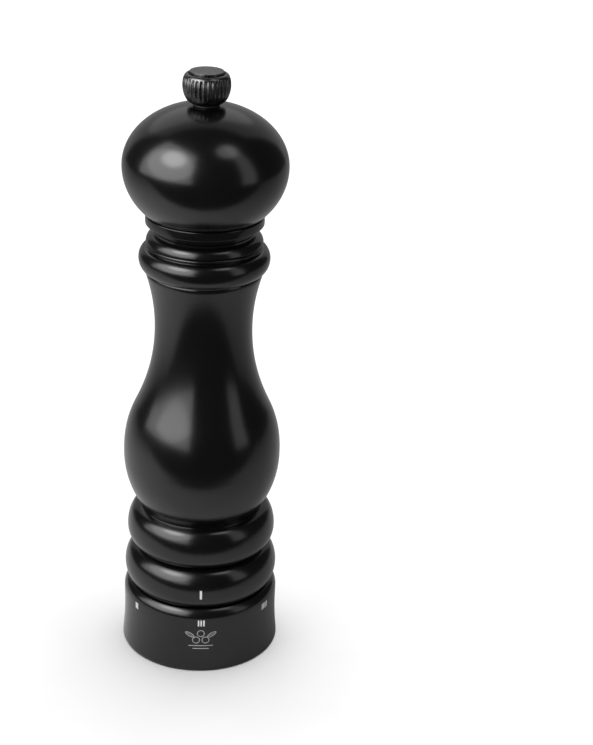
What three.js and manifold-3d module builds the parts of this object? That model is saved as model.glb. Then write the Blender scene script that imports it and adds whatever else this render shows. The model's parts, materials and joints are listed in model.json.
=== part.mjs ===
// A table pepper mill. A turned wooden head twists over a turned wooden body, and a square shaft
// carries the twist down to a conical grinder in the foot. Turning the wooden ring at the base
// screws a bridge up or down under the grinder and so sets how finely it grinds.
// Millimetres, +Z up, the mill's axis is Z and it stands on z = 0 with its marks facing -Y.
import * as THREE from "three";
import { mergeVertices } from "three/addons/utils/BufferGeometryUtils.js";
import Module from "manifold-3d";

const wasm = await Module();
wasm.setup();

// ---- driving dimensions ----

// The height over all. Every turned radius below belongs to a mill of this height.
const MILL_HEIGHT = 220;

// Turned wood: greatest and least radii, and the heights they lie at.
const BASE_RING_TOP = 24.9;
const BASE_FOOT_R = 29.4;
const BASE_WAIST_R = 28.62;
const BASE_TOP_R = 28.7;
const BASE_BORE_R = 22;

const BODY_BOTTOM = 25.2;
const BODY_TOP = 163.7;
const INDEX_RING_R = 28.35;
const INDEX_RING_MID = 31.8;
const MIDDLE_RING_R = 27.4;
const MIDDLE_RING_MID = 47.3;
const RING_CORE_R = 22.2;
const LOW_GROOVE = 40.2;
const HIGH_GROOVE = 56.4;
const BELLY_R = 28.7;
const BELLY_MID = 77.5;
const BELLY_DROP = 32.5;
const NECK_R = 17.5;
const NECK_MID = 127;
const NECK_TOP = 147.4;
const BEAD_R = 23.25;
const BEAD_MID = 153.4;
const BODY_COLLAR_R = 20.7;
const CHAMBER_R = 13.2;
const COUNTERBORE_R = 20.3;
const COUNTERBORE_TOP = 27.7;

const HEAD_R = 28.95;
const HEAD_MID = 186.8;
const HEAD_RISE = 21.9;
const HEAD_DROP = 24.5;
const FLANGE_RIM_R = 20.9;
const FLANGE_TOP = 169.4;
const FLANGE_BOTTOM = 166.1;
const UNDERCUT_R = 17.9;
const HEAD_BOTTOM = 164;
const SPIGOT_R = 12.9;
const SPIGOT_BOTTOM = 152;
const HEAD_BORE_R = 4.6;
const HEAD_NECK_BORE_R = 2.8;
const HEAD_NECK_BORE_BOTTOM = 200.5;

// Knob.
const KNOB_BOTTOM = 208.9;
const KNOB_R = 8.3;
const KNOB_FLUTES = 30;
const KNOB_FLUTE_DEPTH = 0.3;
const KNOB_DISC_R = 5.9;
const KNOB_BORE_R = 2.65;
const KNOB_BORE_TOP = 217.4;

// Shaft: square stock, with a round threaded top and a round pivot at its foot.
const SHAFT_SIDE = 6;
const SHAFT_HOLE_SIDE = 6.3;
const SHAFT_PIVOT_R = 2.5;
const SHAFT_PIVOT_TOP = 9.4;
const SHAFT_BOTTOM = 4.4;
const SHAFT_THREAD_R = 2.5;
const SHAFT_THREAD_BOTTOM = 199;
const SHAFT_TOP = 217;
const SHAFT_GROOVE_R = 3.05;

// Clip, washer and spring on the shaft, under the hub of the housing.
const CLIP_BOTTOM = 33.6;
const CLIP_TOP = 34.4;
const CLIP_R = 6;
const HUB_BOTTOM = 35.4;
const HUB_TOP = 38.2;
const HUB_R = 7.2;
const HUB_BORE_R = 4.6;
const SPRING_MEAN_R = 5.3;
const SPRING_WIRE_R = 0.45;
const SPRING_TURNS = 4.5;

// Grinder.
const ROTOR_BOTTOM = 8.4;
const ROTOR_TOP = 24;
const ROTOR_FOOT_R = 10.6;
const ROTOR_TOP_R = 6.8;
const ROTOR_TEETH = 12;
const STATOR_BOTTOM = 9.3;
const STATOR_TOP = 20;
const STATOR_R = 14.5;
const STATOR_TEETH = 36;
const LUG_BOTTOM = 9.5;
const LUG_TOP = 12;

// Plastic housing: a flange screwed into the body, with a skirt that hangs inside the base ring.
const FLANGE_R = 20;
const HOUSING_FLANGE_BOTTOM = 21.8;
const HOUSING_FLANGE_TOP = 27.5;
const HOUSING_BORE_R = 12.6;
const SKIRT_R = 16.5;
const SKIRT_BORE_R = 14.8;
const SKIRT_BOTTOM = 4.6;
const STATOR_SEAT = 20.3;
const SLOT_WIDTH = 4.6;
const SLOT_TOP = 12.3;
const CLIP_GROOVE_R = 15.9;
const SCREW_CIRCLE_R = 18.2;
const SCREW_HEAD_R = 1.6;
const SCREW_SHANK_R = 0.9;
const SCREW_TIP = 36;

// Carrier inside the base ring, with a fine internal thread, and the bridge that rides in it.
const CARRIER_R = 21.7;
const CARRIER_THREAD_R = 18.6;
const CARRIER_BOTTOM = 2;
const CARRIER_TOP = 21.5;
const CARRIER_LIP_R = 16.8;
const CARRIER_LIP_BOTTOM = 19.5;
const BRIDGE_RIM_R = 18.4;
const BRIDGE_RIM_BORE_R = 16.9;
const BRIDGE_RIM_BOTTOM = 5;
const BRIDGE_RIM_TOP = 9;
const BRIDGE_ARM_BOTTOM = 5.4;
const BRIDGE_ARM_TOP = 7.4;
const BRIDGE_ARM_WIDTH = 4;
const BRIDGE_HUB_R = 7;
const BUSH_R = 4.2;
const BUSH_BORE_R = 2.6;

// Grind settings: six, evenly stepped. The third is at the index in this pose.
const SETTINGS = 6;
const SETTING_AT_REST = 3;
const SETTING_STEP_DEG = 56;
const NOSE_R = 1;
const NOTCH_R = 1.25;
const NOSE_HEIGHT = 22.2;

// Plate under the head's spigot, with the square hole that turns the shaft.
const PLATE_R = 11.5;
const PLATE_BOTTOM = 149.8;
const PLATE_TOP = 151.7;
const PLATE_SCREW_CIRCLE_R = 8.5;

const WOOD_SEGMENTS = 40;
const FINE_SEGMENTS = 32;
const SMALL_SEGMENTS = 12;
const THIRDS = [0, 1, 2];

// ---- tools ----

const radians = THREE.MathUtils.degToRad;

// One corner of a turned outline, as radius and height.
function at(r, z) {
  return new THREE.Vector2(r, z);
}

// Points on an ellipse arc in the outline's plane, angles in degrees from straight outward.
function bow(r, z, radius, rise, from, to, steps) {
  const curve = new THREE.EllipseCurve(r, z, radius, rise, radians(from), radians(to), from > to);
  return curve.getPoints(steps);
}

// Points on a cubic curve through two ends with two handles.
function flow(start, startHandle, endHandle, end, steps) {
  return new THREE.CubicBezierCurve(start, startHandle, endHandle, end).getPoints(steps);
}

// A three.js geometry as a solid that can be joined and cut.
function solid(geometry) {
  const bare = geometry.clone();
  bare.deleteAttribute("normal");
  bare.deleteAttribute("uv");
  const merged = mergeVertices(bare, 1e-4);
  const mesh = new wasm.Mesh({
    numProp: 3,
    vertProperties: merged.attributes.position.array,
    triVerts: new Uint32Array(merged.index.array),
  });
  return new wasm.Manifold(mesh);
}

// An outline with its doubled corners dropped, running so that the faces point outward.
function tidied(outline) {
  const kept = outline.filter((p, i) => i === 0 || p.distanceTo(outline[i - 1]) > 1e-6);
  return THREE.ShapeUtils.area(kept) < 0 ? kept.reverse() : kept;
}

// The surface turned about Z by a closed outline, which either closes on itself or ends on the axis.
function turnedSurface(outline, segments) {
  const points = tidied(outline);
  const onAxis = points[0].x < 1e-6 && points[points.length - 1].x < 1e-6;
  if (!onAxis) points.push(points[0].clone());
  return new THREE.LatheGeometry(points, segments).rotateX(Math.PI / 2);
}

function turned(outline, segments = FINE_SEGMENTS) {
  return solid(turnedSurface(outline, segments));
}

function ring(inner, outer, bottom, top, segments = FINE_SEGMENTS) {
  return turned([at(inner, bottom), at(outer, bottom), at(outer, top), at(inner, top)], segments);
}

function cylinder(radius, bottom, top, segments = SMALL_SEGMENTS) {
  return turned([at(0, bottom), at(radius, bottom), at(radius, top), at(0, top)], segments);
}

// A box given by its size along X and Y and its two heights, centred on (x, y).
function box(sizeX, sizeY, bottom, top, x = 0, y = 0) {
  const geometry = new THREE.BoxGeometry(sizeX, sizeY, top - bottom);
  return solid(geometry.translate(x, y, (top + bottom) / 2));
}

// A box that lies along +X from one radius to another, then is turned about Z.
function spoke(width, inner, outer, bottom, top, angle) {
  return box(outer - inner, width, bottom, top, (inner + outer) / 2).rotate([0, 0, angle]);
}

// A bar with a round section that lies along a radius.
function radialBar(radius, inner, outer, height, angle) {
  const geometry = new THREE.CylinderGeometry(radius, radius, outer - inner, SMALL_SEGMENTS);
  geometry.rotateZ(Math.PI / 2);
  geometry.translate((inner + outer) / 2, 0, height);
  return solid(geometry).rotate([0, 0, angle]);
}

// The same solid at each of three places round the axis.
function threeTimes(make, firstAngle) {
  return THIRDS.map((i) => make(firstAngle + 120 * i)).reduce((sum, one) => sum.add(one));
}

// Moves each point of a turned surface inward by depth(angle, height), angle in radians.
function carved(geometry, depth) {
  const place = geometry.attributes.position;
  for (let i = 0; i < place.count; i++) {
    const x = place.getX(i);
    const y = place.getY(i);
    const r = Math.hypot(x, y);
    const cut = r > 0 ? depth(Math.atan2(y, x), place.getZ(i), r) : 0;
    const scale = r > 0 ? (r - cut) / r : 1;
    place.setXY(i, x * scale, y * scale);
  }
  return geometry;
}

const mill = new THREE.Group();
mill.name = "pepper_mill";

// ---- looks ----

const LACQUERED_WOOD = { color: 0x0b0b0c, roughness: 0.28, metalness: 0 };
const KNOB_METAL = { color: 0x2c2d30, roughness: 0.35, metalness: 0.9 };
const STEEL = { color: 0xb4b7bb, roughness: 0.3, metalness: 1 };
const HARD_STEEL = { color: 0x55585c, roughness: 0.45, metalness: 1 };
const BLACK_PLASTIC = { color: 0x1b1b1d, roughness: 0.5, metalness: 0 };
const GREY_PLASTIC = { color: 0x6c6f72, roughness: 0.5, metalness: 0 };
const BRASS = { color: 0xb08d45, roughness: 0.35, metalness: 1 };

// Adds one closed body to the mill under its own name.
function add(name, made, look) {
  const cut = made.getMesh();
  const geometry = new THREE.BufferGeometry();
  geometry.setAttribute("position", new THREE.BufferAttribute(cut.vertProperties, 3));
  geometry.setIndex(new THREE.BufferAttribute(cut.triVerts, 1));
  geometry.computeVertexNormals();
  const mesh = new THREE.Mesh(geometry, new THREE.MeshStandardMaterial(look));
  mesh.name = name;
  mill.add(mesh);
}

// ---- turned wood ----

// Base ring: a short drum with a slight waist and a rounded shoulder, bored right through.
const baseRingOutline = [
  at(BASE_BORE_R, 0),
  at(BASE_FOOT_R - 0.3, 0),
  ...flow(at(BASE_FOOT_R, 0.4), at(29.05, 4.4), at(BASE_WAIST_R, 9), at(BASE_WAIST_R, 14), 4),
  at(BASE_TOP_R, 21),
  ...bow(24.05, 21, BASE_TOP_R - 24.05, 4.65, 0, 57, 4),
  at(BASE_BORE_R, BASE_RING_TOP),
];
add("base_ring", turned(baseRingOutline, WOOD_SEGMENTS), LACQUERED_WOOD);

// Body: two rings, a belly that runs up into a waist, and two beads under the rim.
const bodyOutline = [
  at(COUNTERBORE_R, BODY_BOTTOM),
  ...bow(RING_CORE_R, INDEX_RING_MID, INDEX_RING_R - RING_CORE_R, 8.5, -50.9, 66, 6),
  at(23, LOW_GROOVE),
  ...bow(RING_CORE_R, MIDDLE_RING_MID, MIDDLE_RING_R - RING_CORE_R, 7, -66, 0, 3),
  ...bow(RING_CORE_R, MIDDLE_RING_MID, MIDDLE_RING_R - RING_CORE_R, 9, 0, 68, 3),
  at(22.6, HIGH_GROOVE),
  ...bow(0, BELLY_MID, BELLY_R, BELLY_DROP, -37, 0, 5),
  ...flow(at(BELLY_R, 78.5), at(BELLY_R, 82.5), at(28.3, 89), at(24.75, 96.3), 4),
  ...flow(at(24.75, 96.3), at(21.1, 103.9), at(NECK_R, 113.8), at(NECK_R, NECK_MID), 5),
  ...flow(at(NECK_R, NECK_MID), at(NECK_R, 137.4), at(19.9, 144.6), at(20.65, NECK_TOP), 4),
  at(20.5, 148.4),
  ...bow(19.96, BEAD_MID, BEAD_R - 19.96, 4.7, -78, 0, 4),
  ...bow(19.96, BEAD_MID, BEAD_R - 19.96, 4.2, 0, 62, 3),
  at(20.3, 157.4),
  at(20.3, 157.9),
  at(20.8, 158.3),
  at(20.8, 158.7),
  at(20.3, 159.1),
  at(20.3, 159.5),
  ...bow(17.2, 159.2, BODY_COLLAR_R - 17.2, 3.6, 8, 75, 3),
  at(17.95, 162.8),
  at(17.95, BODY_TOP),
  at(CHAMBER_R, BODY_TOP),
  at(CHAMBER_R, COUNTERBORE_TOP),
  at(COUNTERBORE_R, COUNTERBORE_TOP),
];
const housingScrewPilots = threeTimes(
  (angle) =>
    cylinder(SCREW_SHANK_R + 0.15, 20, SCREW_TIP + 0.4)
      .translate([SCREW_CIRCLE_R, 0, 0])
      .rotate([0, 0, angle]),
  30,
);
add("body", turned(bodyOutline, WOOD_SEGMENTS).subtract(housingScrewPilots), LACQUERED_WOOD);

// Head: a flattened ball over a flanged collar, with a spigot that centres it in the body.
const headOutline = [
  at(HEAD_BORE_R, SPIGOT_BOTTOM),
  at(SPIGOT_R - 0.5, SPIGOT_BOTTOM),
  at(SPIGOT_R, SPIGOT_BOTTOM + 0.5),
  at(SPIGOT_R, HEAD_BOTTOM),
  at(UNDERCUT_R, HEAD_BOTTOM),
  at(UNDERCUT_R, FLANGE_BOTTOM),
  at(FLANGE_RIM_R - 0.3, FLANGE_BOTTOM),
  at(FLANGE_RIM_R, FLANGE_BOTTOM + 0.3),
  at(FLANGE_RIM_R, FLANGE_TOP - 0.3),
  at(FLANGE_RIM_R - 0.3, FLANGE_TOP),
  at(20, FLANGE_TOP - 0.5),
  ...bow(0, HEAD_MID, HEAD_R, HEAD_DROP, -45.6, 0, 6),
  ...bow(0, HEAD_MID, HEAD_R, HEAD_RISE, 0, 75, 8),
  at(HEAD_NECK_BORE_R, HEAD_MID + HEAD_RISE * Math.sin(radians(75))),
  at(HEAD_NECK_BORE_R, HEAD_NECK_BORE_BOTTOM),
  at(HEAD_BORE_R, HEAD_NECK_BORE_BOTTOM - 1),
];
const plateScrewPilots = threeTimes(
  (angle) =>
    cylinder(1.4, 150, 162.5)
      .translate([PLATE_SCREW_CIRCLE_R, 0, 0])
      .rotate([0, 0, angle]),
  90,
);
add("head", turned(headOutline, WOOD_SEGMENTS).subtract(plateScrewPilots), LACQUERED_WOOD);

// ---- knob ----

// Knob: a fluted barrel with a smooth rim and a raised disc, tapped from below.
const knobOutline = [
  at(0, KNOB_BORE_TOP),
  at(KNOB_BORE_R, KNOB_BORE_TOP),
  at(KNOB_BORE_R, KNOB_BOTTOM),
  at(5.1, KNOB_BOTTOM),
  at(6.5, 209.5),
  ...flow(at(6.9, 209.9), at(8, 211.7), at(KNOB_R, 213.6), at(KNOB_R, 215.1), 3),
  ...flow(at(KNOB_R, 215.1), at(KNOB_R, 216.8), at(7.85, 218.3), at(7.15, 218.95), 3),
  at(6.45, 219.2),
  at(6.25, 219.1),
  at(6.25, 218.7),
  at(KNOB_DISC_R, 218.7),
  at(KNOB_DISC_R, MILL_HEIGHT - 0.2),
  at(KNOB_DISC_R - 0.2, MILL_HEIGHT),
  at(0, MILL_HEIGHT),
];
const knobSurface = carved(turnedSurface(knobOutline, 2 * KNOB_FLUTES), (angle, z, r) => {
  const onBarrel = r > 6.4 && z > 209.8 && z < 218.8;
  return onBarrel ? KNOB_FLUTE_DEPTH * (0.5 - 0.5 * Math.cos(KNOB_FLUTES * angle)) : 0;
});
add("knob", solid(knobSurface), KNOB_METAL);
add("knob_washer", ring(2.75, 4.6, 208.25, 208.65), BLACK_PLASTIC);

// ---- shaft ----

const shaftSquare = box(SHAFT_SIDE, SHAFT_SIDE, SHAFT_PIVOT_TOP, SHAFT_THREAD_BOTTOM);
const clipGroove = ring(SHAFT_GROOVE_R, 5, CLIP_BOTTOM - 0.15, CLIP_TOP + 0.15, 24);
const shaftThread = turned([
  at(0, SHAFT_THREAD_BOTTOM - 1),
  at(SHAFT_THREAD_R, SHAFT_THREAD_BOTTOM - 1),
  at(SHAFT_THREAD_R, SHAFT_TOP - 0.5),
  at(SHAFT_THREAD_R - 0.5, SHAFT_TOP),
  at(0, SHAFT_TOP),
]);
const shaftPivot = cylinder(SHAFT_PIVOT_R, SHAFT_BOTTOM, SHAFT_PIVOT_TOP + 1, FINE_SEGMENTS);
add("drive_shaft", shaftSquare.subtract(clipGroove).add(shaftThread).add(shaftPivot), STEEL);

const shaftClip = ring(3.3, CLIP_R, CLIP_BOTTOM, CLIP_TOP, 24);
add("shaft_clip", shaftClip.subtract(spoke(4.4, 0, 8, 30, 36, 90)), HARD_STEEL);
add("hub_washer", ring(4.5, 6.8, 34.6, 35.2, 24), STEEL);

// Spring: a wire coil about the shaft, between the clip and the rotor's top face.
class Coil extends THREE.Curve {
  getPoint(t, target = new THREE.Vector3()) {
    const low = ROTOR_TOP + 0.25 + SPRING_WIRE_R;
    const high = CLIP_BOTTOM - 0.25 - SPRING_WIRE_R;
    const turn = 2 * Math.PI * SPRING_TURNS * t;
    const x = SPRING_MEAN_R * Math.cos(turn);
    const y = SPRING_MEAN_R * Math.sin(turn);
    return target.set(x, y, low + (high - low) * t);
  }
}
const wire = new THREE.Shape().absarc(0, 0, SPRING_WIRE_R, 0, 2 * Math.PI);
const coil = new THREE.ExtrudeGeometry(wire, {
  steps: 16 * SPRING_TURNS,
  curveSegments: 3,
  extrudePath: new Coil(),
});
add("grind_spring", solid(coil), STEEL);

// ---- grinder ----

// Rotor: a steel cone whose teeth twist round it as they climb.
const rotorOutline = [
  at(0, ROTOR_BOTTOM),
  at(ROTOR_FOOT_R - 0.5, ROTOR_BOTTOM),
  at(ROTOR_FOOT_R, ROTOR_BOTTOM + 0.5),
  at(10.4, 11),
  at(9.9, 13.5),
  at(9.1, 16.5),
  at(8.1, 20),
  at(ROTOR_TOP_R, ROTOR_TOP),
  at(0, ROTOR_TOP),
];
const rotorSurface = carved(turnedSurface(rotorOutline, 4 * ROTOR_TEETH), (angle, z, r) => {
  const climb = THREE.MathUtils.clamp((z - 9.5) / 5, 0, 1);
  const depth = r > 6 ? 0.3 + 0.9 * climb : 0;
  const twist = 0.05 * (z - ROTOR_BOTTOM);
  return depth * (0.5 - 0.5 * Math.cos(ROTOR_TEETH * (angle - twist)));
});
const rotorHole = box(SHAFT_HOLE_SIDE, SHAFT_HOLE_SIDE, 5, 28);
add("rotor", solid(rotorSurface).subtract(rotorHole), HARD_STEEL);
add("thrust_washer", ring(2.8, 5.6, 7.8, 8.15, 24), STEEL);

// Stator: a toothed ring, wide at the top where the peppercorns drop in.
const statorOutline = [
  at(10.95, STATOR_BOTTOM),
  at(STATOR_R, STATOR_BOTTOM),
  at(STATOR_R, STATOR_TOP),
  at(12.4, STATOR_TOP),
  at(11.2, 13.4),
];
const statorSurface = carved(turnedSurface(statorOutline, 2 * STATOR_TEETH), (angle, z, r) => {
  return r < 13 ? -0.6 * (0.5 - 0.5 * Math.cos(STATOR_TEETH * angle)) : 0;
});
const statorLugs = threeTimes(
  (angle) => spoke(SLOT_WIDTH - 0.5, 13.4, 16.2, LUG_BOTTOM, LUG_TOP, angle),
  90,
);
add("stator", solid(statorSurface).add(statorLugs), HARD_STEEL);

// ---- housing ----

const housingOutline = [
  at(SKIRT_BORE_R, SKIRT_BOTTOM),
  at(SKIRT_R, SKIRT_BOTTOM),
  at(SKIRT_R, 18),
  at(CLIP_GROOVE_R, 18),
  at(CLIP_GROOVE_R, 19.4),
  at(SKIRT_R, 19.4),
  at(SKIRT_R, HOUSING_FLANGE_BOTTOM),
  at(FLANGE_R, HOUSING_FLANGE_BOTTOM),
  at(FLANGE_R, HOUSING_FLANGE_TOP),
  at(HOUSING_BORE_R, HOUSING_FLANGE_TOP),
  at(HOUSING_BORE_R, STATOR_SEAT),
  at(SKIRT_BORE_R, STATOR_SEAT),
];
const housingLegs = threeTimes((angle) => spoke(3, 9.8, 12.9, 21, HUB_TOP, angle), 30);
const housingSpokes = threeTimes((angle) => spoke(3, 5.6, 12, HUB_BOTTOM, HUB_TOP, angle), 30);
const housingHub = ring(HUB_BORE_R, HUB_R, HUB_BOTTOM, HUB_TOP);
const skirtSlots = threeTimes((angle) => spoke(SLOT_WIDTH, 12, 18, 3, SLOT_TOP, angle), 90);
const screwSeats = threeTimes(
  (angle) =>
    cylinder(SCREW_HEAD_R + 0.15, 20, 23.8)
      .translate([SCREW_CIRCLE_R, 0, 0])
      .rotate([0, 0, angle]),
  30,
);

// The leaf spring and its pocket are arcs centred on the back of the mill.
function backArc(inner, outer, bottom, top, halfAngle) {
  const shape = new THREE.Shape();
  const from = radians(90 - halfAngle);
  const to = radians(90 + halfAngle);
  shape.absarc(0, 0, outer, from, to, false);
  shape.absarc(0, 0, inner, to, from, true);
  const options = { depth: top - bottom, bevelEnabled: false, curveSegments: 8 };
  return solid(new THREE.ExtrudeGeometry(shape, options).translate(0, 0, bottom));
}
const springPocket = backArc(17.1, 19.7, 20.5, 24.2, 27);
const housing = turned(housingOutline)
  .add(housingLegs)
  .add(housingSpokes)
  .add(housingHub)
  .subtract(skirtSlots)
  .subtract(housingScrewPilots)
  .subtract(screwSeats)
  .subtract(springPocket);
add("mechanism_housing", housing, GREY_PLASTIC);

const detentLeaf = backArc(17.4, 19.4, 22.85, 23.25, 25);
const detentNose = radialBar(NOSE_R, 17.5, 19.3, NOSE_HEIGHT, 90);
add("detent_spring", detentLeaf.add(detentNose), STEEL);

const retainingClip = ring(16.1, 18.2, 18.2, 19.2);
add("retaining_clip", retainingClip.subtract(spoke(8, 14, 20, 17, 20, 270)), STEEL);

// Screws: a round head with a crossed slot, and a plain shank that stands in for its thread.
function screw(headR, shankR, bottom, headTop, tip, place, angle) {
  const head = cylinder(headR, bottom, headTop);
  const shank = cylinder(shankR, headTop - 0.2, tip - shankR, 12);
  const point = turned([at(0, tip - shankR - 0.1), at(shankR, tip - shankR - 0.1), at(0, tip)], 12);
  const slot = box(1.5 * headR, 0.3 * headR, bottom - 1, bottom + 0.4);
  const made = head.add(shank).add(point).subtract(slot).subtract(slot.rotate([0, 0, 90]));
  return made.translate([place, 0, 0]).rotate([0, 0, angle]);
}
THIRDS.forEach((i) => {
  const angle = 30 + 120 * i;
  const made = screw(SCREW_HEAD_R, SCREW_SHANK_R, 22.2, 23.6, SCREW_TIP, SCREW_CIRCLE_R, angle);
  add("housing_screw_" + (i + 1), made, STEEL);
});

// ---- grind setting ----

const notches = Array.from({ length: SETTINGS }, (_, i) => {
  const step = SETTING_AT_REST - (i + 1);
  return radialBar(NOTCH_R, 16, 19.7, NOSE_HEIGHT, 90 - SETTING_STEP_DEG * step);
}).reduce((sum, one) => sum.add(one));
const carrierOutline = [
  at(CARRIER_THREAD_R, CARRIER_BOTTOM),
  at(CARRIER_R, CARRIER_BOTTOM),
  at(CARRIER_R, CARRIER_TOP),
  at(CARRIER_LIP_R, CARRIER_TOP),
  at(CARRIER_LIP_R, CARRIER_LIP_BOTTOM),
  at(CARRIER_THREAD_R, CARRIER_LIP_BOTTOM),
];
add("ring_carrier", turned(carrierOutline).subtract(notches), BLACK_PLASTIC);

const bridgeArms = threeTimes(
  (angle) => spoke(BRIDGE_ARM_WIDTH, 5.5, 17.6, BRIDGE_ARM_BOTTOM, BRIDGE_ARM_TOP, angle),
  90,
);
const bridgeRim = ring(BRIDGE_RIM_BORE_R, BRIDGE_RIM_R, BRIDGE_RIM_BOTTOM, BRIDGE_RIM_TOP);
const bridgeHub = ring(BUSH_R + 0.2, BRIDGE_HUB_R, BRIDGE_ARM_BOTTOM, BRIDGE_ARM_TOP);
add("bridge", bridgeArms.add(bridgeRim).add(bridgeHub), BLACK_PLASTIC);
add("pivot_bush", ring(BUSH_BORE_R, BUSH_R, 5.2, 7.6), BRASS);

// ---- plate under the head ----

const plateHoles = threeTimes(
  (angle) =>
    cylinder(1.4, 148, 154)
      .translate([PLATE_SCREW_CIRCLE_R, 0, 0])
      .rotate([0, 0, angle]),
  90,
);
const plate = cylinder(PLATE_R, PLATE_BOTTOM, PLATE_TOP, FINE_SEGMENTS)
  .subtract(plateHoles)
  .subtract(box(SHAFT_HOLE_SIDE, SHAFT_HOLE_SIDE, 148, 154));
add("drive_plate", plate, STEEL);
THIRDS.forEach((i) => {
  const made = screw(2.3, 1.15, 148.4, 149.5, 162, PLATE_SCREW_CIRCLE_R, 90 + 120 * i);
  add("drive_plate_screw_" + (i + 1), made, STEEL);
});

export default mill;
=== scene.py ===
# %% [markdown]
# # A turned pepper mill
# A table mill of black lacquered wood: a base ring, a waisted body, a ball head and a small
# fluted knob, all made on a lathe. The CAD model already holds every moving piece, so this
# lesson loads it first and then gives each visible piece the smooth curves, crisp edges and
# finish that the faceted CAD pieces lack.

# %% Load the frame
import json
import math

import bpy
from mathutils import Matrix, Vector


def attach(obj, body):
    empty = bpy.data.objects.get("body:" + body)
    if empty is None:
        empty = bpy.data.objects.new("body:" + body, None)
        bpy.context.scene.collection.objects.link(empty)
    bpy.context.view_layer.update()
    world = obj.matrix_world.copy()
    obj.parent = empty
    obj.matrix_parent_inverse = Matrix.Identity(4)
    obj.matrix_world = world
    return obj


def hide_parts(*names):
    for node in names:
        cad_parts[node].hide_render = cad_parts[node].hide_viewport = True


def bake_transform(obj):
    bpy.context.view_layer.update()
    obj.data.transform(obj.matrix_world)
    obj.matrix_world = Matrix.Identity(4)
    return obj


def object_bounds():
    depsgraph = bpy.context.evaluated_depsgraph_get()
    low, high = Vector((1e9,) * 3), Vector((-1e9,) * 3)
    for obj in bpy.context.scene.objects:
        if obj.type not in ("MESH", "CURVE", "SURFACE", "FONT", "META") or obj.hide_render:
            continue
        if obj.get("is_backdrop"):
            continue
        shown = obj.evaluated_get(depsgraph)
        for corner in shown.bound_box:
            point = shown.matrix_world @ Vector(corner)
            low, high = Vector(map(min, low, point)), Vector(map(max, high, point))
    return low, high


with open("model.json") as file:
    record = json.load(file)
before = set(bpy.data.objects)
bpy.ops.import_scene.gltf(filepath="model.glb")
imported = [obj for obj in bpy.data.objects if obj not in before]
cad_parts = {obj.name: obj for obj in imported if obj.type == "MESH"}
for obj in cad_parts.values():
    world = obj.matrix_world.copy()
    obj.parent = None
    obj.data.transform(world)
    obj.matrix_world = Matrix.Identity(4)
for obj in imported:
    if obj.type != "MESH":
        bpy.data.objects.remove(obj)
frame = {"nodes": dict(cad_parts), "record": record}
cad_low, cad_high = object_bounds()
MM = 0.001
HEIGHT = cad_high.z / MM
bpy.ops.object.select_all(action="DESELECT")
print("CAD nodes:", len(frame["nodes"]), "height in mm:", round(HEIGHT, 2))

# %% [markdown]
# ## The camera
# A product shot is taken from a little above with a longish lens, so that the mill stays
# slender. The camera is placed by where it stands and how it is turned: a small turn to the
# right, a tilt down, and a slight roll, as a tripod gives.

# %% Camera
CAMERA_PLACE = (0, -0.5896, 0.3745)
TURN_RIGHT, LOOK_DOWN, ROLL = 3.29, 24.21, 2.10
bpy.ops.object.camera_add(location=CAMERA_PLACE)
camera = bpy.context.object
camera.name = "studio_camera"
turn_right = Matrix.Rotation(math.radians(-TURN_RIGHT), 3, "Z")
tilt_down = Matrix.Rotation(math.radians(90 - LOOK_DOWN), 3, "X")
slight_roll = Matrix.Rotation(math.radians(ROLL), 3, "Z")
camera.rotation_euler = (turn_right @ tilt_down @ slight_roll).to_euler()
camera.data.sensor_width = 36
camera.data.lens = 86.17
camera.data.clip_start = 0.01
bpy.context.scene.camera = camera
print("camera at", [round(v, 3) for v in camera.location])

# %% [markdown]
# ## Drawing an outline
# A turner works from an outline, and so does this script. An outline is a list of radius and
# height in millimetres. Rounded parts of it are arcs of an ellipse, and long sweeps are cubic
# curves with two handles, which keep the line free of flats.


# %% Arcs and sweeps
def bow(r, z, radius, rise, start, end, steps):
    """Points on an elliptical arc. Angles are in degrees, from straight outward."""
    angles = [math.radians(start + (end - start) * i / steps) for i in range(steps + 1)]
    return [(r + radius * math.cos(a), z + rise * math.sin(a)) for a in angles]


def flow(start, handle_a, handle_b, end, steps):
    """Points on a cubic curve between two ends."""
    points = []
    for i in range(steps + 1):
        t = i / steps
        weights = ((1 - t) ** 3, 3 * t * (1 - t) ** 2, 3 * t * t * (1 - t), t**3)
        corners = (start, handle_a, handle_b, end)
        points.append(tuple(sum(w * c[k] for w, c in zip(weights, corners)) for k in (0, 1)))
    return points


print("a quarter arc starts and ends at", bow(0, 0, 2, 1, 0, 90, 4)[::4])

# %% [markdown]
# ## Turning on the lathe
# A turned piece is its outline swept once round the axis. It could be a cylinder with its
# rings moved one by one, but an outline that is drawn first and spun afterwards is what the
# lathe does, and its corners stay where they are put. The outline is drawn by pulling one
# point along with extrude, and spin carries it round. The seam and the poles are then merged,
# and the normals are made to agree, because spin can turn a shape inside out.


# %% The lathe
SPECK = 0.1 * MM
WELD = 2e-6


def deselect():
    bpy.ops.object.select_all(action="DESELECT")


def place_in_mesh(piece):
    """Moves a piece's place, turn and size into its mesh, so the object sits at the origin."""
    deselect()
    piece.select_set(True)
    bpy.context.view_layer.objects.active = piece
    bpy.ops.object.transform_apply(location=True, rotation=True, scale=True)
    return piece


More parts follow.
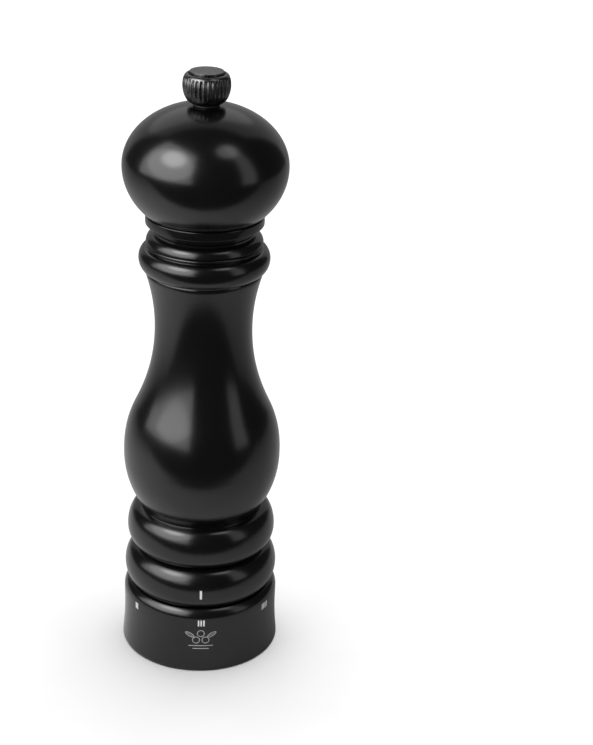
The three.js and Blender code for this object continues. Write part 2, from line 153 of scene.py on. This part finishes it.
def draw_outline(name, outline):
    """A mesh of one open line through the outline's points, in the plane of X and Z."""
    deselect()
    first_r, first_z = outline[0]
    start = (first_r * MM, 0, first_z * MM)
    bpy.ops.mesh.primitive_plane_add(size=SPECK, location=start)
    piece = place_in_mesh(bpy.context.object)
    piece.name = piece.data.name = name
    bpy.ops.object.mode_set(mode="EDIT")
    bpy.ops.mesh.select_all(action="SELECT")
    bpy.ops.mesh.merge(type="CENTER")
    for (r0, z0), (r1, z1) in zip(outline, outline[1:]):
        step = ((r1 - r0) * MM, 0, (z1 - z0) * MM)
        if Vector(step).length > 1e-7:
            bpy.ops.mesh.extrude_region_move(TRANSFORM_OT_translate={"value": step})
    bpy.ops.object.mode_set(mode="OBJECT")
    return piece


def turn_piece(name, outline, steps=144, crease=32):
    """Draws an outline and spins it into a closed, smooth-shaded piece."""
    piece = draw_outline(name, outline)
    bpy.ops.object.mode_set(mode="EDIT")
    bpy.ops.mesh.select_all(action="SELECT")
    bpy.ops.mesh.spin(steps=steps, angle=2 * math.pi, center=(0, 0, 0), axis=(0, 0, 1))
    bpy.ops.mesh.select_all(action="SELECT")
    bpy.ops.mesh.remove_doubles(threshold=WELD)
    bpy.ops.mesh.normals_make_consistent(inside=False)
    bpy.ops.object.mode_set(mode="OBJECT")
    bpy.ops.object.shade_smooth_by_angle(angle=math.radians(crease))
    print(name, "faces:", len(piece.data.polygons))
    return piece


# %% [markdown]
# ## The base ring
# The ring at the foot is gripped and turned to set the grind. Its wall has a slight waist for
# the fingers and a rounded shoulder at the top. The foot has a tiny chamfer, as any turned
# edge that meets a table does.

# %% Turn the base ring
base_outline = [
    (22.0, 0.25),
    (22.25, 0.0),
    (29.0, 0.0),
    (29.3, 0.12),
    *flow((29.4, 0.4), (29.05, 4.4), (28.62, 9), (28.62, 14), 14),
    *flow((28.62, 14), (28.62, 16.5), (28.7, 18.5), (28.7, 21.0), 8),
    *bow(24.05, 21.0, 4.65, 4.65, 0, 54, 12),
    *flow((26.78, 24.76), (26.6, 24.88), (26.5, 24.9), (26.3, 24.9), 3),
    (22.25, 24.9),
    (22.0, 24.65),
    (22.0, 0.25),
]
base_ring = turn_piece("base_ring_turned", base_outline)
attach(base_ring, "grind_ring")
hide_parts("base_ring")

# %% [markdown]
# ## The body
# From the foot up: the ring with the index mark, a second ring, a belly that runs up into a
# waist, and two beads under the rim. The grooves between them are where the turner's parting
# tool went in, so they are narrow and deep. The bore down the middle is the pepper chamber,
# and the wider bore at the foot takes the housing of the grinder.

# %% Turn the body
RING_CORE_R = 22.2
body_outline = [
    (20.3, 25.4),
    (20.5, 25.2),
    (26.0, 25.2),
    *bow(RING_CORE_R, 31.8, 6.15, 8.5, -50.2, 66, 26),
    *bow(23.05, 40.2, 0.15, 0.15, 270, 90, 4),
    *bow(RING_CORE_R, 47.3, 5.2, 7.0, -66, 0, 14),
    *bow(RING_CORE_R, 47.3, 5.2, 9.0, 0, 68, 16),
    *bow(22.75, 56.45, 0.2, 0.2, 270, 110, 4),
    *bow(0, 77.5, 28.7, 32.5, -37, 0, 24),
    *flow((28.7, 78.5), (28.7, 82.5), (28.3, 89), (24.75, 96.3), 18),
    *flow((24.75, 96.3), (21.1, 103.9), (17.5, 113.8), (17.5, 127), 24),
    *flow((17.5, 127), (17.5, 137.4), (19.9, 144.6), (20.65, 147.4), 18),
    (20.65, 148.2),
    (20.5, 148.5),
    *bow(19.96, 153.4, 3.29, 4.7, -78, 0, 18),
    *bow(19.96, 153.4, 3.29, 4.2, 0, 62, 14),
    *flow((21.5, 157.11), (21.1, 157.3), (20.3, 157.3), (20.25, 157.6), 6),
    *bow(20.35, 158.5, 0.45, 0.55, -80, 80, 8),
    (20.2, 159.3),
    (20.2, 159.5),
    *bow(17.2, 159.2, 3.5, 3.6, 8, 75, 16),
    (17.95, 162.78),
    (17.95, 163.6),
    (17.85, 163.7),
    (13.4, 163.7),
    (13.2, 163.5),
    (13.2, 27.7),
    (20.3, 27.7),
    (20.3, 25.4),
]
body = turn_piece("body_turned", body_outline)
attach(body, "body")
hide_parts("body")

# %% [markdown]
# ## The head
# The head is a ball, wider than it is tall, that fills the palm. A narrow notch separates it
# from a flange, and an undercut below the flange leaves the dark line that says where the
# head turns on the body. A spigot under it fits the chamber's mouth.

# %% Turn the head
head_outline = [
    (4.6, 152.2),
    (4.8, 152.0),
    (12.5, 152.0),
    (12.9, 152.4),
    (12.9, 164.0),
    (17.9, 164.0),
    (17.9, 166.1),
    (20.5, 166.1),
    *bow(20.5, 166.5, 0.4, 0.4, -90, 0, 5),
    *bow(20.6, 169.1, 0.3, 0.3, 0, 90, 5),
    (20.4, 169.38),
    (20.0, 168.9),
    *bow(0, 186.8, 28.95, 24.5, -45.6, 0, 30),
    *bow(0, 186.8, 28.95, 21.9, 0, 75, 44),
    (5.0, 207.95),
    (2.8, 207.95),
    (2.8, 200.5),
    (4.6, 199.5),
    (4.6, 152.2),
]
head = turn_piece("head_turned", head_outline)
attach(head, "head")
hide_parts("head")

# %% [markdown]
# ## The knob
# The knob is screwed down with finger and thumb, so its sides are fluted. It has a narrower
# foot, a barrel that swells to its widest near the top, a smooth rim, and a flat disc set in a
# dark groove. It is turned smooth first, with eight columns of faces to each flute.

# %% Turn the knob
FLUTES = 30
COLUMNS = 8
knob_outline = [
    (0, 217.4),
    (2.65, 217.4),
    (2.65, 208.9),
    (4.9, 208.9),
    (5.2, 209.0),
    *flow((5.2, 209.0), (6.8, 209.4), (8.3, 211.8), (8.3, 215.2), 24),
    *flow((8.3, 215.2), (8.3, 217.0), (7.9, 218.45), (7.2, 218.95), 14),
    *flow((7.2, 218.95), (7.0, 219.1), (6.8, 219.2), (6.45, 219.2), 5),
    (6.3, 219.1),
    (6.25, 218.5),
    (5.92, 218.5),
    (5.9, 219.8),
    *bow(5.72, 219.82, 0.18, 0.18, 0, 90, 4),
    (0, 220.0),
]
knob = turn_piece("knob_fluted", knob_outline, steps=FLUTES * COLUMNS)

# %% [markdown]
# The flutes are narrow grooves between broad ribs. They could be cut with thirty booleans, but
# those leave ragged edges on a part this small. Instead a vertex group says how deep in a
# groove each point lies: not at all in the middle of a rib, fully in the middle of a groove,
# fading out below the rim and down towards the foot. A Displace modifier then presses the
# surface in by that share, as a knurling wheel does.

# %% Press in the flutes
FLUTE_DEPTH = 0.42


def flute_share(point):
    """How much of the full depth a flute has at one point of the barrel."""
    z = point.z / MM
    turn = math.degrees(math.atan2(point.y, point.x)) * FLUTES / 360 % 1
    across = math.sin(math.pi * turn) ** 3
    below_rim = min(max((218.25 - z) / 0.9, 0), 1)
    above_foot = min(max((z - 210.2) / 4.5, 0), 1)
    return across * math.sqrt(below_rim) * above_foot


flutes = knob.vertex_groups.new(name="flutes")
for corner in knob.data.vertices:
    on_barrel = math.hypot(corner.co.x, corner.co.y) > 6.1 * MM
    if on_barrel and corner.co.z < 218.3 * MM:
        flutes.add([corner.index], flute_share(corner.co), "REPLACE")
press = knob.modifiers.new("press", "DISPLACE")
press.vertex_group = "flutes"
press.mid_level = 0
press.strength = -FLUTE_DEPTH * MM
deselect()
bpy.context.view_layer.objects.active = knob
bpy.ops.object.modifier_apply(modifier="press")
bpy.ops.object.shade_smooth_by_angle(angle=math.radians(38))
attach(knob, "knob")
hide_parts("knob")
print("flutes:", FLUTES, "points in them:", sum(1 for v in knob.data.vertices if v.groups))

# %% [markdown]
# ## The grinder's spring
# A spring sits on the shaft between a clip and the grinding cone, and it shortens as the cone
# is raised. Its CAD node is stiff, so here it is wound again: a small circle of wire is carried
# round and down by a Screw modifier, and the two ends are closed.

# %% Wind the spring
WIRE_R, COIL_R, COIL_TURNS = 0.45, 5.3, 4.5
COIL_LOW, COIL_HIGH = 24.7, 32.9
deselect()
bpy.ops.mesh.primitive_circle_add(
    vertices=12,
    radius=WIRE_R * MM,
    location=(COIL_R * MM, 0, COIL_HIGH * MM),
    rotation=(math.radians(90), 0, 0),
)
spring = place_in_mesh(bpy.context.object)
spring.name = spring.data.name = "spring_wound"
wind = spring.modifiers.new("wind", "SCREW")
wind.angle = -2 * math.pi * COIL_TURNS
wind.screw_offset = (COIL_LOW - COIL_HIGH) * MM
wind.steps = wind.render_steps = int(32 * COIL_TURNS)
bpy.ops.object.modifier_apply(modifier="wind")
bpy.ops.object.mode_set(mode="EDIT")
bpy.ops.mesh.select_mode(type="VERT")
bpy.ops.mesh.select_all(action="DESELECT")
bpy.ops.mesh.select_non_manifold()
bpy.ops.mesh.fill_holes(sides=0)
bpy.ops.mesh.select_all(action="SELECT")
bpy.ops.mesh.normals_make_consistent(inside=False)
bpy.ops.object.mode_set(mode="OBJECT")
bpy.ops.object.shade_smooth_by_angle(angle=math.radians(40))
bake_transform(spring)
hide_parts("grind_spring")
spring_box = [round(side / MM, 2) for side in spring.dimensions]
print("spring faces:", len(spring.data.polygons), "box in mm:", spring_box)

# %% [markdown]
# ## The printed marks
# The settings are printed in white on the base ring, and the line they turn past is on the
# ring above. Ink has next to no thickness, so each mark is a thin plate. It is made flat in
# front of the mill, wrapped onto the turned wood with a Shrinkwrap modifier that looks
# straight back, thickened by a few hundredths of a millimetre, and then carried round to its
# place. A decal texture would be lighter, but a mesh keeps a sharp edge at any distance.

# %% Printing helpers
INK = 0.03
IN_FRONT = -40


def flat_bar(x, z, width, height, lean=0):
    """One upright bar in front of the mill, facing the viewer, in millimetres."""
    deselect()
    place = (x * MM, IN_FRONT * MM, z * MM)
    bpy.ops.mesh.primitive_plane_add(size=1, location=place, rotation=(math.pi / 2, 0, 0))
    bar = bpy.context.object
    bar.scale = (width * MM, height * MM, 1)
    bar.rotation_euler = (math.pi / 2, math.radians(lean), 0)
    place_in_mesh(bar)
    bpy.ops.object.mode_set(mode="EDIT")
    bpy.ops.mesh.select_all(action="SELECT")
    bpy.ops.mesh.subdivide(number_cuts=7)
    bpy.ops.object.mode_set(mode="OBJECT")
    return bar


def flat_ring(x, z, wide, tall, line, lean=0):
    """The outline of a circle or an oval in front of the mill, one line wide."""
    deselect()
    place = (x * MM, IN_FRONT * MM, z * MM)
    bpy.ops.mesh.primitive_circle_add(vertices=40, radius=MM, fill_type="NGON", location=place)
    ring = bpy.context.object
    ring.scale = (wide / 2, tall / 2, 1)
    ring.rotation_euler = (math.pi / 2, math.radians(lean), 0)
    place_in_mesh(ring)
    bpy.ops.object.mode_set(mode="EDIT")
    bpy.ops.mesh.select_all(action="SELECT")
    bpy.ops.mesh.inset(thickness=line * MM, depth=0)
    bpy.ops.mesh.delete(type="FACE")
    bpy.ops.object.mode_set(mode="OBJECT")
    return ring


def print_on(name, shapes, wood, azimuth):
    """Joins flat shapes, wraps them onto the wood and turns them round to an azimuth."""
    deselect()
    for shape in shapes:
        shape.select_set(True)
    bpy.context.view_layer.objects.active = shapes[0]
    if len(shapes) > 1:
        bpy.ops.object.join()
    mark = bpy.context.object
    mark.name = mark.data.name = name
    wrap = mark.modifiers.new("wrap", "SHRINKWRAP")
    wrap.wrap_method = "PROJECT"
    wrap.wrap_mode = "ABOVE_SURFACE"
    wrap.use_project_y = True
    wrap.use_positive_direction = True
    wrap.target = wood
    wrap.offset = 0.02 * MM
    bpy.ops.object.modifier_apply(modifier="wrap")
    ink = mark.modifiers.new("ink", "SOLIDIFY")
    ink.thickness = INK * MM
    ink.offset = 1
    bpy.ops.object.modifier_apply(modifier="ink")
    mark.rotation_euler.z = math.radians(azimuth)
    place_in_mesh(mark)
    print(name, "faces:", len(mark.data.polygons), "at azimuth", azimuth)
    return mark


# %% [markdown]
# The six settings lie 56 degrees apart, one coarser than the next, and are counted in bars.
# The third faces forward, so the others are two steps to one side and three to the other.

# %% Settings and index line
SETTINGS = 6
SETTING_STEP = 56
FRONT_SETTING = 3
FRONT_AZIMUTH = 1.1
BAR_PITCH, BAR_WIDTH, BAR_HEIGHT = 0.98, 0.56, 2.5
SETTING_Z = 20.1
marks = []
for count in range(1, SETTINGS + 1):
    places = [(i - (count - 1) / 2) * BAR_PITCH for i in range(count)]
    bars = [flat_bar(x, SETTING_Z, BAR_WIDTH, BAR_HEIGHT) for x in places]
    azimuth = (count - FRONT_SETTING) * SETTING_STEP + FRONT_AZIMUTH
    mark = print_on(f"setting_mark_{count}", bars, base_ring, azimuth)
    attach(mark, "grind_ring")
    marks.append(mark)

index_line = print_on("index_line", [flat_bar(0, 31.9, 0.8, 3.5)], body, 0.6)
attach(index_line, "body")
marks.append(index_line)

# %% [markdown]
# Below the third setting sits a small emblem in thin lines. This one is a plain sprig: three
# peppercorns, two leaves with their ribs, and two bars to stand on.

# %% Sprig emblem
LINE = 0.3
sprig = [
    flat_ring(0, 15.7, 2.9, 2.9, LINE),
    flat_ring(-1.75, 12.9, 2.9, 2.9, LINE),
    flat_ring(1.75, 12.9, 2.9, 2.9, LINE),
    flat_ring(-4.05, 15.2, 3.9, 1.6, LINE, lean=32),
    flat_ring(4.05, 15.2, 3.9, 1.6, LINE, lean=-32),
    flat_bar(-4.05, 15.2, 2.6, 0.2, lean=32),
    flat_bar(4.05, 15.2, 2.6, 0.2, lean=-32),
    flat_bar(0, 10.5, 9.0, 0.35),
    flat_bar(0, 9.3, 6.0, 0.35),
]
emblem = print_on("sprig_emblem", sprig, base_ring, 0.9)
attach(emblem, "grind_ring")

# %% [markdown]
# ## Finishes
# Each finish is one material built from noise in the mill's own coordinates, so it stays put
# when a piece moves. A helper adds a noise between two values to a socket of the shader, which
# is how all of them get their unevenness.

# %% Finish helpers


def new_finish(name, color, metallic, roughness):
    """A material with a plain Principled shader, and its parts by name."""
    finish = bpy.data.materials.new(name)
    finish.use_nodes = True
    nodes = finish.node_tree.nodes
    shader = nodes["Principled BSDF"]
    shader.inputs["Base Color"].default_value = (*color, 1)
    shader.inputs["Metallic"].default_value = metallic
    shader.inputs["Roughness"].default_value = roughness
    place = nodes.new("ShaderNodeTexCoord")
    place.name = "place"
    return finish


def add_noise(finish, per_metre, stretch=(1, 1, 1), detail=3):
    """A noise in the object's coordinates. A stretch below one draws it out along that axis."""
    nodes, links = finish.node_tree.nodes, finish.node_tree.links
    mapping = nodes.new("ShaderNodeMapping")
    mapping.inputs["Scale"].default_value = stretch
    noise = nodes.new("ShaderNodeTexNoise")
    noise.inputs["Scale"].default_value = per_metre
    noise.inputs["Detail"].default_value = detail
    links.new(nodes["place"].outputs["Object"], mapping.inputs["Vector"])
    links.new(mapping.outputs["Vector"], noise.inputs["Vector"])
    return noise.outputs["Fac"]


def vary_roughness(finish, fac, low, high):
    nodes, links = finish.node_tree.nodes, finish.node_tree.links
    spread = nodes.new("ShaderNodeMapRange")
    spread.inputs["From Min"].default_value = 0.3
    spread.inputs["From Max"].default_value = 0.7
    spread.inputs["To Min"].default_value = low
    spread.inputs["To Max"].default_value = high
    links.new(fac, spread.inputs["Value"])
    links.new(spread.outputs["Result"], nodes["Principled BSDF"].inputs["Roughness"])


def vary_color(finish, fac, dark, light):
    nodes, links = finish.node_tree.nodes, finish.node_tree.links
    ramp = nodes.new("ShaderNodeValToRGB")
    ramp.color_ramp.elements[0].position = 0.3
    ramp.color_ramp.elements[0].color = (*dark, 1)
    ramp.color_ramp.elements[1].position = 0.7
    ramp.color_ramp.elements[1].color = (*light, 1)
    links.new(fac, ramp.inputs["Fac"])
    links.new(ramp.outputs["Color"], nodes["Principled BSDF"].inputs["Base Color"])


def add_relief(finish, fac, height_mm, strength=1):
    nodes, links = finish.node_tree.nodes, finish.node_tree.links
    bump = nodes.new("ShaderNodeBump")
    bump.inputs["Strength"].default_value = strength
    bump.inputs["Distance"].default_value = height_mm * MM
    links.new(fac, bump.inputs["Height"])
    links.new(bump.outputs["Normal"], nodes["Principled BSDF"].inputs["Normal"])


# %% [markdown]
# ### Black lacquer
# Several coats of satin black on turned beech. The colour is all but black. What the eye reads
# is the sheen: a soft-edged reflection that is broken up a little by the orange peel of
# sprayed lacquer and by long, faint waves where the grain lies underneath.

# %% Satin lacquer
lacquer = new_finish("satin_black_lacquer", (0.002, 0.002, 0.002), 0, 0.21)
grain = add_noise(lacquer, 60, stretch=(1, 1, 0.12), detail=4)
vary_color(lacquer, grain, (0.0012, 0.0012, 0.0013), (0.0024, 0.0023, 0.0022))
cloudy = add_noise(lacquer, 45, detail=2)
vary_roughness(lacquer, cloudy, 0.19, 0.23)
orange_peel = add_noise(lacquer, 650, detail=1)
add_relief(lacquer, orange_peel, 0.006)
print(lacquer.name, "nodes:", len(lacquer.node_tree.nodes))

# %% [markdown]
# ### Knob metal, ink, and what is inside
# The knob is a dark, cast and plated metal, with fine streaks down the flutes. The ink is
# matt. Inside, the shaft and springs are bright steel, the grinder is hardened and darker, and
# the cup, bridge and housing are moulded plastic with a fine, even grain.

# %% The other finishes
charcoal = new_finish("charcoal_plated_metal", (0.1, 0.1, 0.103), 1, 0.28)
vary_color(charcoal, add_noise(charcoal, 900), (0.075, 0.075, 0.077), (0.125, 0.125, 0.128))
vary_roughness(charcoal, add_noise(charcoal, 1500, stretch=(1, 1, 0.15)), 0.22, 0.36)
add_relief(charcoal, add_noise(charcoal, 3000, stretch=(1, 1, 0.2)), 0.01)

ink_white = new_finish("white_ink", (0.6, 0.6, 0.58), 0, 0.5)
vary_color(ink_white, add_noise(ink_white, 4000), (0.52, 0.52, 0.5), (0.66, 0.66, 0.64))
ink_grey = new_finish("soft_grey_ink", (0.3, 0.29, 0.29), 0, 0.5)
vary_color(ink_grey, add_noise(ink_grey, 4000), (0.22, 0.21, 0.21), (0.34, 0.33, 0.33))

bright_steel = new_finish("bright_steel", (0.55, 0.55, 0.54), 1, 0.25)
vary_color(bright_steel, add_noise(bright_steel, 700), (0.48, 0.48, 0.47), (0.6, 0.6, 0.59))
vary_roughness(bright_steel, add_noise(bright_steel, 2500, stretch=(1, 1, 0.1)), 0.2, 0.38)

hard_steel = new_finish("hardened_steel", (0.2, 0.195, 0.19), 1, 0.35)
vary_color(hard_steel, add_noise(hard_steel, 400), (0.15, 0.145, 0.14), (0.26, 0.255, 0.25))
vary_roughness(hard_steel, add_noise(hard_steel, 1800), 0.3, 0.45)
add_relief(hard_steel, add_noise(hard_steel, 2500), 0.02)

black_plastic = new_finish("black_moulded_plastic", (0.012, 0.012, 0.012), 0, 0.5)
plastic_clouds = add_noise(black_plastic, 120)
vary_color(black_plastic, plastic_clouds, (0.009, 0.009, 0.009), (0.016, 0.016, 0.016))
vary_roughness(black_plastic, add_noise(black_plastic, 300), 0.42, 0.56)
add_relief(black_plastic, add_noise(black_plastic, 3500), 0.015)

grey_plastic = new_finish("grey_moulded_plastic", (0.22, 0.22, 0.23), 0, 0.45)
vary_color(grey_plastic, add_noise(grey_plastic, 120), (0.19, 0.19, 0.2), (0.25, 0.25, 0.26))
vary_roughness(grey_plastic, add_noise(grey_plastic, 300), 0.4, 0.52)
add_relief(grey_plastic, add_noise(grey_plastic, 3500), 0.015)

brass = new_finish("turned_brass", (0.7, 0.5, 0.22), 1, 0.3)
vary_color(brass, add_noise(brass, 500), (0.6, 0.42, 0.17), (0.76, 0.55, 0.26))
vary_roughness(brass, add_noise(brass, 3000, stretch=(0.1, 0.1, 1)), 0.22, 0.4)
print("finishes:", len(bpy.data.materials))

# %% [markdown]
# The record names a material slot for every CAD node, so one table carries the finishes over to
# all of them. The new pieces are given theirs one by one.

# %% Put the finishes on
FINISH_OF_SLOT = {
    "lacquered_wood": lacquer,
    "knob_metal": charcoal,
    "steel": bright_steel,
    "hard_steel": hard_steel,
    "black_plastic": black_plastic,
    "grey_plastic": grey_plastic,
    "brass": brass,
}


def put_finish(piece, finish):
    piece.data.materials.clear()
    piece.data.materials.append(finish)


for row in frame["record"]["subparts"]:
    node = frame["nodes"][row["node"]]
    put_finish(node, FINISH_OF_SLOT[row["material_slot"]])
for turned in (base_ring, body, head):
    put_finish(turned, lacquer)
put_finish(knob, charcoal)
put_finish(spring, bright_steel)
for mark in marks:
    put_finish(mark, ink_white)
put_finish(emblem, ink_grey)
print("CAD nodes given a finish:", len(frame["nodes"]))

# %% [markdown]
# ## Floor
# The mill stands on a plain white sheet. The lacquer would mirror that sheet as a bright band
# all round, and the black would turn grey. A studio keeps that in hand with a darker card
# under and beside the object, and a dark room in front. Here the white sheet is seen by the
# camera but not mirrored, and a grey card that is only mirrored lies on it.

# %% Lay the floor
paper = new_finish("white_paper", (0.9, 0.9, 0.9), 0, 0.9)
vary_color(paper, add_noise(paper, 30), (0.89, 0.89, 0.89), (0.91, 0.91, 0.91))
card_grey = new_finish("grey_card", (0.2, 0.2, 0.2), 0, 0.9)
vary_color(card_grey, add_noise(card_grey, 30), (0.19, 0.19, 0.19), (0.21, 0.21, 0.21))


def lay_sheet(name, middle_y, size, depth_mm, finish):
    """A flat square sheet on the ground, marked as part of the stage."""
    deselect()
    bpy.ops.mesh.primitive_plane_add(size=size, location=(0, middle_y, -depth_mm * MM))
    sheet = bpy.context.object
    sheet.name = name
    put_finish(sheet, finish)
    sheet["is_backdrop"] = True
    return sheet


CARD_SIZE = 2.0
CARD_FRONT = -0.14
floor = lay_sheet("floor", 0, 8, 0.2, paper)
floor.visible_glossy = False
card = lay_sheet("mirrored_card", CARD_FRONT + CARD_SIZE / 2, CARD_SIZE, 0.1, card_grey)
card.visible_camera = card.visible_diffuse = False
card.visible_shadow = card.visible_transmission = False
print("card starts at y =", CARD_FRONT)

# %% [markdown]
# ## Light
# A black, shiny thing is lit by what it mirrors. A big softbox at the left front, brighter
# towards its middle, gives the broad highlight. A tall narrow one at the right gives the thin
# one, and an oval high up widens its top. A pale panel behind and a lamp over it rim the
# outline and the top. None of these should cast its own shadow on the floor, so light linking
# keeps them off it, and the floor has overhead lights of its own that the mill doesn't mirror.
# A light's strength is worked out from how bright its face should look.

# %% Studio lights


def studio_light(name, azimuth, distance, height, size, glow, aim=None, shape="RECTANGLE"):
    """An area light whose face has a given glow. Azimuth is from the camera's side.

    With no aim it faces the mill's axis squarely."""
    turn = math.radians(azimuth)
    spot = Vector((distance * math.sin(turn), -distance * math.cos(turn), height))
    bpy.ops.object.light_add(type="AREA", location=spot)
    light = bpy.context.object
    light.name = name
    toward = Vector(aim or (0, 0, height)) - spot
    light.rotation_euler = toward.to_track_quat("-Z", "Y").to_euler()
    light.data.shape = shape
    light.data.size, light.data.size_y = size
    area = size[0] * size[1] * (math.pi / 4 if shape == "ELLIPSE" else 1)
    light.data.energy = glow * math.pi * area
    light.visible_camera = False
    print(name, "watts:", round(light.data.energy, 1))
    return light


def link_light(light, pieces, state):
    """With INCLUDE a light falls on these pieces alone, with EXCLUDE on all else."""
    group = bpy.data.collections.new(light.name + "_" + state.lower())
    for piece in pieces:
        group.objects.link(piece)
    for entry in group.collection_objects:
        entry.light_linking.link_state = state
    light.light_linking.receiver_collection = group


OVAL = {"shape": "ELLIPSE"}
mirrored = [
    studio_light("left_softbox", -58, 0.60, 0.70, (1.0, 1.1), 2.3),
    studio_light("left_softbox_middle", -55, 0.59, 0.60, (0.9, 0.85), 2.2, **OVAL),
    studio_light("left_softbox_core", -54, 0.58, 0.72, (0.45, 0.50), 5.5, **OVAL),
    studio_light("right_strip", 60, 0.60, 0.85, (0.22, 1.50), 0.9),
    studio_light("right_strip_core", 50, 0.59, 1.32, (0.52, 1.00), 1.8, **OVAL),
    studio_light("back_panel", 180, 1.5, 0.9, (3.2, 3.4), 0.33, (0, 0, 0.2)),
    studio_light("back_lamp", 188, 0.9, 0.95, (1.5, 0.8), 0.5, (0, 0, 0.2), **OVAL),
]
for light in mirrored:
    link_light(light, [floor, card], "EXCLUDE")
floor_light = studio_light("floor_light", 180, 0.7, 1.6, (3.2, 3.2), 2.42, (0, 0.7, 0))
link_light(floor_light, [floor, card], "INCLUDE")
card_light = studio_light("card_light", -63, 0.22, 0.42, (0.3, 0.3), 22, (-0.2, -0.1, 0))
link_light(card_light, [card], "INCLUDE")

# %% [markdown]
# The room itself is dark, and the picture is developed without a film look, so that the paper
# comes out plain white and the lacquer black.

# %% Room and view
room = bpy.data.worlds.new("dark_room")
bpy.context.scene.world = room
room.use_nodes = True
room.node_tree.nodes["Background"].inputs["Color"].default_value = (0.06, 0.06, 0.06, 1)
bpy.context.scene.view_settings.view_transform = "Standard"
bpy.context.scene.view_settings.look = "None"
print("view transform:", bpy.context.scene.view_settings.view_transform)

# %% [markdown]
# ## Size
# The looks must not change the size. The box of the CAD model and the box of the finished
# pieces are compared, and the largest change of a side is printed.

# %% Compare the sizes
low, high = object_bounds()
changes = [abs(a - b) / MM for a, b in zip((*low, *high), (*cad_low, *cad_high))]
print("largest change of a side in mm:", round(max(changes), 4))
